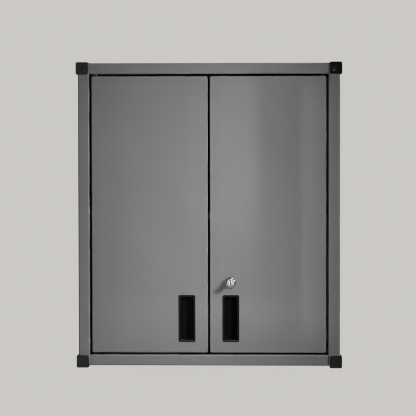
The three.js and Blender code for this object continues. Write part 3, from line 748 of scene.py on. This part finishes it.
def bracket_rivet(level):
    """A domed rivet."""
    head, tip = span(f"bracket_rivet_{level}_right")[1]
    dome = []
    for step in range(8):
        angle = math.pi / 2 * step / 7
        dome.append((RIVET_HEAD * math.sin(angle), head + RIVET_DOME_HEIGHT * (1 - math.cos(angle))))
    shank = [(RIVET_SHANK, head + RIVET_DOME_HEIGHT), (RIVET_SHANK, tip)]
    return turned(dome + shank, "y", rivet_centre(level), 32)


def shelf():
    """A sheet folded down at its front and back, with its edges turned in."""
    half = THIN_SHEET / 2
    reach, (front, back), (bottom, top) = span("shelf")
    outline = folded_outline([
        (front + SHELF_TURN_IN, bottom + half),
        (front + half, bottom + half),
        (front + half, top - half),
        (back - half, top - half),
        (back - half, bottom + half),
        (back - SHELF_TURN_IN, bottom + half),
    ], THIN_SHEET, SHELF_BEND)
    return prism(outline, "x", reach)


def shelf_support():
    half = FRAME_SHEET / 2
    (inner, outer), reach, (bottom, top) = span("shelf_support_right")
    path = [(outer - half, bottom), (outer - half, top - half), (inner, top - half)]
    return prism(folded_outline(path, FRAME_SHEET), "y", reach)


def hinge_pin():
    """A pin with a flat head above the rail's lower wall and a collar below it."""
    tip, top = span("hinge_pin_right_upper")[2]
    under_rail = OPENING_Z - CLEAR
    under_collar = under_rail - PIN_COLLAR_HEIGHT
    profile = [
        (PIN_SHANK - 0.7, tip), (PIN_SHANK, tip + 0.7),
        (PIN_SHANK, under_collar),
        (PIN_COLLAR - 0.4, under_collar), (PIN_COLLAR, under_collar + 0.4),
        (PIN_COLLAR, under_rail), (PIN_SHANK, under_rail),
        (PIN_SHANK, top - PIN_HEAD_HEIGHT), (PIN_HEAD, top - PIN_HEAD_HEIGHT),
        (PIN_HEAD, top - 0.5), (PIN_HEAD - 0.5, top),
    ]
    return turned(profile, "z", hinge_centre(), 40)


def build_case():
    add_side_pair("side_wall", "side_panel", side_panel, case_paint, side_panel_cutters, SHEET_EDGE)
    for name, node, flip in (("top_shell", "top_panel", False), ("bottom_shell", "bottom_panel", True)):
        add_piece(name, mirrored(top_panel(), z=flip), case_paint, node,
                  [mirrored(cutter, z=flip) for cutter in top_panel_cutters()], SHEET_EDGE)
    add_piece("ribbed_back", back_panel(), case_paint, "back_panel", edge=SHEET_EDGE)
    add_side_pair("top_corner", "corner_cap_top", lambda: corner_cap("corner_cap_top_right"),
                  cap_plastic, top_cap_cutters, 0.2)
    add_side_pair("bottom_corner", "corner_cap_bottom", lambda: corner_cap("corner_cap_bottom_right"),
                  cap_plastic, lambda: [mirrored(cap_hollow(), z=True)], 0.2)
    add_side_pair("button_screw", "cap_screw", cap_screw, black_steel, screw_socket, 0.15)
    for level in ("upper", "lower"):
        for side in ("right", "left"):
            add_piece(f"domed_rivet_{level}_{side}", mirrored(bracket_rivet(level), x=side == "left"),
                      zinc_steel, f"bracket_rivet_{level}_{side}")
    add_piece("folded_shelf", shelf(), case_paint, "shelf", edge=SHEET_EDGE)
    add_side_pair("shelf_angle", "shelf_support", shelf_support, case_paint, edge=SHEET_EDGE)
    # The four pins are alike. Three are black steel as painted shade, and the upper left one is bright zinc
    # as a painted glint.
    add_corner_set("pivot_pin", "hinge_pin", hinge_pin, black_steel, zinc_steel)
    for side in ("right", "left"):
        finish_node(f"hang_bracket_{side}", zinc_steel, 0.3)
        finish_node(f"magnet_catch_{side}", cap_plastic, 0.5)
        finish_node(f"door_stop_{side}", rubber, 0.8)


# ---- Doors -----------------------------------------------------------------------------------


def door_shell():
    """The right door's tray: a rolled front edge, four walls and a lip round the open back."""
    x, (front, back), z = span("door_shell_right")
    centre = (middle(x), middle(z))
    half_x, half_z = (x[1] - x[0]) / 2, (z[1] - z[0]) / 2
    steps = [(inset, front + depth) for inset, depth in quarter(DOOR_EDGE, 8)]
    steps += [(inset, back - depth) for inset, depth in reversed(quarter(DOOR_BACK_EDGE, 3))]
    steps += [
        (DOOR_LIP, back),
        (DOOR_LIP, back - DOOR_SHEET),
        (DOOR_SHEET, back - DOOR_SHEET),
        (DOOR_SHEET, front + DOOR_SHEET),
    ]
    rings = []
    for inset, y in steps:
        outline = rounded_outline(half_x - inset, half_z - inset, max(DOOR_CORNER - inset, 1), 5)
        rings.append(ring_facing_front(centre, outline, y))
    return loft(rings)


def cup_centre():
    box = span("handle_cup_right")
    return middle(box[0]), middle(box[2])


def cup_half_size():
    box = span("handle_cup_right")
    return (box[0][1] - box[0][0]) / 2, (box[2][1] - box[2][0]) / 2


def door_cutters(with_lock):
    """The openings for the handle cup, the hinge bushes and, in the right door, the lock."""
    half_x, half_z = cup_half_size()
    outline = rounded_outline(half_x - 2, half_z - 2, 3)
    centre = cup_centre()
    cup = prism([(centre[0] + u, centre[1] + v) for u, v in outline], "y", (FRONT - 1, FRONT + 3))
    height = span("door_shell_right")[2][1]
    bushes = [rod(BUSH_RADIUS + CLEAR, "z", hinge_centre(), (end - 3, end + 3), 32)
              for end in (-height, height)]
    if not with_lock:
        return [cup] + bushes
    return [cup, lock_hole(FRONT - 1, FRONT + 3)] + bushes


def lock_hole(start, end):
    return rod(LOCK_BARREL + CLEAR, "y", (LOCK_X, LOCK_Z), (start, end))


def handle_cup():
    """A flush pull: a raised round rim, steep walls, and a floor that ramps down towards the
    door's meeting edge."""
    half_x, half_z = cup_half_size()
    centre = cup_centre()
    rim_front, back = span("handle_cup_right")[1]
    seat = FRONT - CLEAR
    rim_height = seat - rim_front
    body_half = (half_x - CUP_BODY_INSET, half_z - CUP_BODY_INSET)
    rings = [cup_ring(*body_half, CUP_BODY_CORNER, centre, back),
             cup_ring(*body_half, CUP_BODY_CORNER, centre, seat),
             cup_ring(half_x, half_z, CUP_CORNER, centre, seat)]
    for step in range(13):
        angle = math.pi * step / 12
        inset = CUP_RIM / 2 * (1 - math.cos(angle)) * 0.98
        y = seat - rim_height * math.sin(angle) ** 0.6
        rings.append(cup_ring(half_x - inset, half_z - inset, CUP_CORNER - inset * 0.3, centre, y))
    for inset in CUP_INSETS:
        ring = cup_ring(half_x - inset, half_z - inset, 3.4, centre, 0)
        rings.append([floor_point(point, inset) for point in ring])
    return loft(rings)


def cup_ring(half_x, half_z, radius, centre, y):
    return ring_facing_front(centre, rounded_outline(half_x, half_z, radius, 6, 8), y)


def floor_point(point, inset):
    """Drops a point of the recess to the depth it has there."""
    x, _, z = point
    wall = min((inset - CUP_RIM) / CUP_WALL_RUN, 1)
    depth = CUP_DEPTH * (1 - (1 - wall) ** 3)
    half_x = cup_half_size()[0] - CUP_RIM
    from_outer_side = cup_centre()[0] + half_x - x
    ramp = CUP_SHALLOW + CUP_DEPTH * min(max(from_outer_side, 0) / half_x, 1) ** CUP_RAMP_POWER
    return x, FRONT + min(depth, ramp), z


def hinge_bush():
    """A flanged nylon bush with a bored middle."""
    bottom, top = span("hinge_bush_right_upper")[2]
    bore = PIN_SHANK + CLEAR
    under_flange = top - BUSH_FLANGE_HEIGHT
    profile = [
        (bore, bottom), (BUSH_RADIUS - 0.5, bottom), (BUSH_RADIUS, bottom + 0.5),
        (BUSH_RADIUS, under_flange), (BUSH_FLANGE - 0.2, under_flange),
        (BUSH_FLANGE, under_flange + 0.2), (BUSH_FLANGE, top - 0.4),
        (BUSH_FLANGE - 0.4, top), (bore + 0.4, top), (bore, top - 0.4),
    ]
    return turned(profile, "z", hinge_centre(), 48, closed=True)


def bolt_guide():
    """A hat-shaped strap over the slide bolt."""
    half = THIN_SHEET / 2
    (left, right), (foot, crown), height = span("bolt_guide_upper")
    outline = folded_outline([
        (left, foot + half),
        (left + GUIDE_FOOT, foot + half),
        (left + GUIDE_FOOT, crown - half),
        (right - GUIDE_FOOT, crown - half),
        (right - GUIDE_FOOT, foot + half),
        (right, foot + half),
    ], THIN_SHEET, GUIDE_BEND)
    return prism(outline, "z", height)


def build_doors():
    for side in ("right", "left"):
        flip = side == "left"
        cutters = [mirrored(cutter, x=flip) for cutter in door_cutters(with_lock=not flip)]
        shell = mirrored(door_shell(), x=flip)
        add_piece(f"door_tray_{side}", shell, door_paint, f"door_shell_{side}", cutters)
        finish_node(f"door_inner_panel_{side}", door_paint, 0.3)
        finish_node(f"strike_plate_{side}", zinc_steel, 0.25)
    add_side_pair("flush_pull", "handle_cup", handle_cup, cup_plastic)
    add_corner_set("pivot_bush", "hinge_bush", hinge_bush, nylon)
    for level in ("upper", "lower"):
        add_piece(f"bolt_strap_{level}", mirrored(bolt_guide(), z=level == "lower"), zinc_steel,
                  f"bolt_guide_{level}", edge=0.2)
        finish_node(f"slide_bolt_{level}", zinc_steel, 0.5)


# ---- Lock ------------------------------------------------------------------------------------


def lock_housing():
    """The domed bezel with its flat face ring, and the barrel through the door."""
    face, tail = span("lock_housing")[1]
    seat = FRONT - CLEAR
    bezel = span("lock_housing")[0][1] - LOCK_X
    ring = LOCK_FACE_RING
    profile = [
        (LOCK_BORE, tail), (LOCK_BORE, face + 0.5),
        (LOCK_BORE + 0.15, face + 0.15), (LOCK_BORE + 0.5, face),
        (ring, face), (ring + 0.9, face + 0.16), (ring + 1.9, face + 0.62), (ring + 2.8, face + 1.35),
        (bezel - 0.85, face + 2.3), (bezel - 0.3, face + 3.4), (bezel, face + 4.6),
        (bezel, seat - 0.5), (bezel - 0.4, seat),
        (LOCK_BARREL, seat), (LOCK_BARREL, tail),
    ]
    return turned(profile, "y", (LOCK_X, LOCK_Z), 96, closed=True)


def lock_plug():
    face, tail = span("lock_plug")[1]
    profile = [(PLUG_RADIUS - 0.5, face), (PLUG_RADIUS - 0.12, face + 0.12), (PLUG_RADIUS, face + 0.5),
               (PLUG_RADIUS, tail)]
    return turned(profile, "y", (LOCK_X, LOCK_Z))


def keyway():
    face = span("lock_plug")[1][0]
    width = (LOCK_X - KEYWAY_WIDTH / 2, LOCK_X + KEYWAY_WIDTH / 2)
    height = (LOCK_Z - KEYWAY_HEIGHT / 2, LOCK_Z + KEYWAY_HEIGHT / 2)
    return [block(width, (face - 1, face + KEYWAY_DEPTH), height)]


def lock_cam():
    """A flat bar with round ends that hangs from the plug."""
    (left, right), reach, (bottom, top) = span("lock_cam")
    half = (right - left) / 2
    outline = rounded_outline(half, (top - bottom) / 2, half - 0.02, 12)
    centre = ((left + right) / 2, middle((bottom, top)))
    return prism([(centre[0] + u, centre[1] + v) for u, v in outline], "y", reach)


def cam_screw():
    front, back = span("cam_screw")[1]
    seat = back - 2.6
    profile = [(1.7, front), (2.2, front + 0.5), (2.2, seat), (4.4, seat), (4.4, seat + 1.3),
               (4.0, seat + 1.9), (3, seat + 2.4), (1.6, seat + 2.58), (0.3, back)]
    return turned(profile, "y", (LOCK_X, LOCK_Z), 40)


def key_bow():
    """The middle of the key's round bow in y and z, and its radius."""
    _, (front, _), height = span("key")
    radius = (height[1] - height[0]) / 2
    return (front + radius, middle(height)), radius


def key_outline():
    """The key's side view in y and z: a round bow, a shoulder and a blade cut for the pins."""
    front, tip = span("key")[1]
    bow, bow_radius = key_bow()
    blade_half = KEYWAY_HEIGHT / 2 - CLEAR
    joint = math.sqrt(bow_radius ** 2 - (blade_half + LOCK_Z - bow[1]) ** 2)
    low_joint = math.sqrt(bow_radius ** 2 - (LOCK_Z - blade_half - bow[1]) ** 2)
    start = math.atan2(LOCK_Z - blade_half - bow[1], low_joint)
    end = math.atan2(LOCK_Z + blade_half - bow[1], joint)
    points = []
    for step in range(49):
        angle = end + (2 * math.pi + start - end) * step / 48
        points.append((bow[0] + bow_radius * math.cos(angle), bow[1] + bow_radius * math.sin(angle)))
    points += blade_points(front + 2 * bow_radius, tip, blade_half)
    return points


def blade_points(start, tip, half):
    """The lower, cut edge of the blade, its tip and its plain upper edge."""
    pitch = (tip - start - 7) / len(KEY_CUTS)
    points = []
    for place, depth in enumerate(KEY_CUTS):
        at = start + 3.5 + place * pitch
        points += [(at, LOCK_Z - half), (at + pitch * 0.35, LOCK_Z - half + depth),
                   (at + pitch * 0.6, LOCK_Z - half + depth)]
    end = [(tip - 3, LOCK_Z - half), (tip, LOCK_Z - 0.4), (tip, LOCK_Z + 0.8), (tip - 2, LOCK_Z + half)]
    return points + end


def key():
    return prism(key_outline(), "x", span("key")[0])


def key_cutters():
    """The ring hole in the bow and a milled groove along one face of the blade."""
    low, high = span("key")[0]
    tip = span("key")[1][1]
    bow, bow_radius = key_bow()
    circle = rounded_outline(KEY_HOLE_RADIUS, KEY_HOLE_RADIUS, KEY_HOLE_RADIUS - 0.02, 8)
    hole = [(bow[0] - KEY_HOLE_INSET + u, bow[1] + v) for u, v in circle]
    groove_start = bow[0] + bow_radius - 2
    groove = block((high - 0.5, high + 1), (groove_start, tip + 1), (LOCK_Z + 0.6, LOCK_Z + 1.8))
    return [prism(hole, "x", (low - 1, high + 1)), groove]


def build_lock():
    add_piece("lock_bezel", lock_housing(), chrome, "lock_housing")
    add_piece("lock_core", lock_plug(), chrome, "lock_plug", keyway(), 0.12)
    add_piece("lock_arm", lock_cam(), zinc_steel, "lock_cam", edge=0.25)
    add_piece("arm_screw", cam_screw(), zinc_steel, "cam_screw")
    add_piece("cut_key", key(), chrome, "key", key_cutters(), 0.22)
    finish_node("lock_nut", zinc_steel, 0.4)


# ---- Floor, light and camera -----------------------------------------------------------------

# Places and sizes from here on are in metres.
FLOOR_Z = -1.35
FLOOR_REACH = 4.5  # from the middle to each edge
FLOOR_LIFT = 0.36  # how much paler the floor is to the camera
FRONT_M = FRONT * MM
SURROUND_LIGHT = 0.05  # strength of the light that the surround gives
SURROUND_SEEN = (0.60, 0.585, 0.56)
KEY_PLACE = (1.84, -1.74, 0.85)
KEY_SPREAD = 14.5  # degrees
VIEW_TARGET = Vector((-0.0020, FRONT_M, 0.0164))
VIEW_AZIMUTH = 2.171  # the camera stands a little to the right
VIEW_ELEVATION = 2.187
VIEW_ROLL = -0.087
VIEW_DISTANCE = 5.007
LENS = 177.4
PIXEL_FILTER = 1.0  # a crisp pixel filter, as sharp as the photograph


def add_floor():
    plane = bmesh.new()
    bmesh.ops.create_grid(plane, x_segments=8, y_segments=8, size=FLOOR_REACH)
    bmesh.ops.translate(plane, vec=(0, 0, FLOOR_Z), verts=plane.verts)
    data = bpy.data.meshes.new("floor")
    plane.to_mesh(data)
    plane.free()
    floor = bpy.data.objects.new("floor", data)
    bpy.context.scene.collection.objects.link(floor)
    pale = new_material("floor_pale", (0.62, 0.61, 0.595), 0.7)
    clouds = fitted(pale, noise(pale, 2, detail=3), 0, 1)
    vary_colour(pale, clouds, (0.61, 0.60, 0.585), (0.64, 0.63, 0.615))
    brighten_for_camera(pale, FLOOR_LIFT)
    data.materials.append(pale)


def brighten_for_camera(material, strength):
    """Lifts a surface for the camera alone, so that it stays pale and lights nothing."""
    shader = shader_of(material)
    path = add_node(material, "ShaderNodeLightPath")
    amount = add_node(material, "ShaderNodeMath", operation="MULTIPLY")
    amount.inputs[1].default_value = strength
    shader.inputs["Emission Color"].default_value = (1, 0.975, 0.935, 1)
    wire(material, path.outputs["Is Camera Ray"], amount.inputs[0])
    wire(material, amount.outputs["Value"], shader.inputs["Emission Strength"])


def add_softbox(name, place, target, size, power, mirrored=True, lighting=True):
    """A soft rectangular light that isn't seen itself. It may be kept out of reflections, or only
    be seen in them."""
    data = bpy.data.lights.new(name, "AREA")
    data.shape = "RECTANGLE"
    data.size, data.size_y = size
    data.energy = power
    light = bpy.data.objects.new(name, data)
    light.location = place
    light.rotation_euler = (Vector(target) - Vector(place)).to_track_quat("-Z", "Y").to_euler()
    light.visible_camera = False
    light.visible_glossy = mirrored
    light.visible_diffuse = lighting
    bpy.context.scene.collection.objects.link(light)
    return light


def add_lights():
    """A narrow key light from the right, soft fills round the room, and strips that are only
    seen as glints on edges, on the lock and in the paint."""
    key = add_softbox("key_light", KEY_PLACE, (-0.03, FRONT_M, 0), (0.28, 1.0), 1.87, mirrored=False)
    glint = add_softbox("key_glint", KEY_PLACE, (-0.03, FRONT_M, -0.2), (0.28, 0.3), 0.55, lighting=False)
    for light in (key, glint):
        light.data.spread = math.radians(KEY_SPREAD)
    add_softbox("front_strip", (-0.035, -0.75, -0.08), (-0.035, FRONT_M, -0.08), (0.05, 0.4), 0.66,
                mirrored=False)
    add_softbox("left_side", (-1.6, -1.2, 0.3), (0, FRONT_M, 0), (0.4, 1.2), 3.6, mirrored=False)
    add_softbox("right_side", (1.8, -1.0, 0.2), (0, FRONT_M, 0), (0.4, 1.2), 1, mirrored=False)
    add_softbox("overhead", (0, -1.6, 2.0), (0, FRONT_M, 0), (1.2, 0.4), 1, mirrored=False)
    add_softbox("rear_fill", (1.2, 2.6, 1.2), (0, 0, 0), (1.6, 1.6), 40, mirrored=False)
    add_softbox("roof_fill", (0, 0.7, 2.6), (0, 0.7, 0), (2, 2), 35, mirrored=False)
    add_softbox("right_wing", (2.6, 0.6, 0.4), (0, 0, 0), (1.2, 1.6), 25, mirrored=False)
    add_softbox("left_wing", (-2.6, 0.6, 0.4), (0, 0, 0), (1.2, 1.6), 22, mirrored=False)
    add_softbox("edge_glint_left", (0.13, -0.5, 0.14), (-1, -0.5, 0.14), (0.12, 0.38), 1.4, lighting=False)
    add_softbox("edge_glint_right", (0.22, -0.39, 0), (1, -0.39, 0), (0.06, 0.62), 0.7, lighting=False)
    add_softbox("edge_glint_below", (0, -0.42, -0.2), (0, -0.42, -1), (0.5, 0.1), 0.6, lighting=False)
    add_softbox("lock_sheen", (0, -2.3, -0.31), (0, 0, -0.31), (0.16, 0.12), 0.09, lighting=False)
    add_softbox("low_sheen", (0.35, -2.3, -0.75), (0.2, FRONT_M, -0.2), (0.5, 0.4), 0.3, lighting=False)
    add_softbox("left_sheen", (-0.51, -2.3, -0.12), (-0.51, 0, -0.12), (0.2, 1.3), 0.95, lighting=False)


def add_world():
    """A pale surround. The camera sees it brighter than the object is lit by it."""
    world = bpy.data.worlds.new("pale surround")
    world.use_nodes = True
    bpy.context.scene.world = world
    tree = world.node_tree
    lit = tree.nodes["Background"]
    lit.inputs["Color"].default_value = (1, 0.99, 0.975, 1)
    lit.inputs["Strength"].default_value = SURROUND_LIGHT
    seen = tree.nodes.new("ShaderNodeBackground")
    seen.inputs["Color"].default_value = (*SURROUND_SEEN, 1)
    seen.inputs["Strength"].default_value = 1.0
    path = tree.nodes.new("ShaderNodeLightPath")
    mix = tree.nodes.new("ShaderNodeMixShader")
    tree.links.new(path.outputs["Is Camera Ray"], mix.inputs["Fac"])
    tree.links.new(lit.outputs["Background"], mix.inputs[1])
    tree.links.new(seen.outputs["Background"], mix.inputs[2])
    tree.links.new(mix.outputs["Shader"], tree.nodes["World Output"].inputs["Surface"])


def add_camera():
    data = bpy.data.cameras.new("camera")
    data.sensor_width = 36
    data.lens = LENS
    azimuth, elevation = math.radians(VIEW_AZIMUTH), math.radians(VIEW_ELEVATION)
    towards = Vector((
        math.sin(azimuth) * math.cos(elevation),
        -math.cos(azimuth) * math.cos(elevation),
        math.sin(elevation),
    ))
    camera = bpy.data.objects.new("camera", data)
    camera.location = VIEW_TARGET + towards * VIEW_DISTANCE
    level = (-towards).to_track_quat("-Z", "Y").to_matrix()
    camera.rotation_euler = (level @ Matrix.Rotation(math.radians(VIEW_ROLL), 3, "Z")).to_euler()
    bpy.context.scene.collection.objects.link(camera)
    bpy.context.scene.camera = camera


build_case()
build_doors()
build_lock()
add_floor()
add_lights()
add_world()
add_camera()
bpy.context.scene.view_settings.view_transform = "Standard"
bpy.context.scene.cycles.filter_width = PIXEL_FILTER
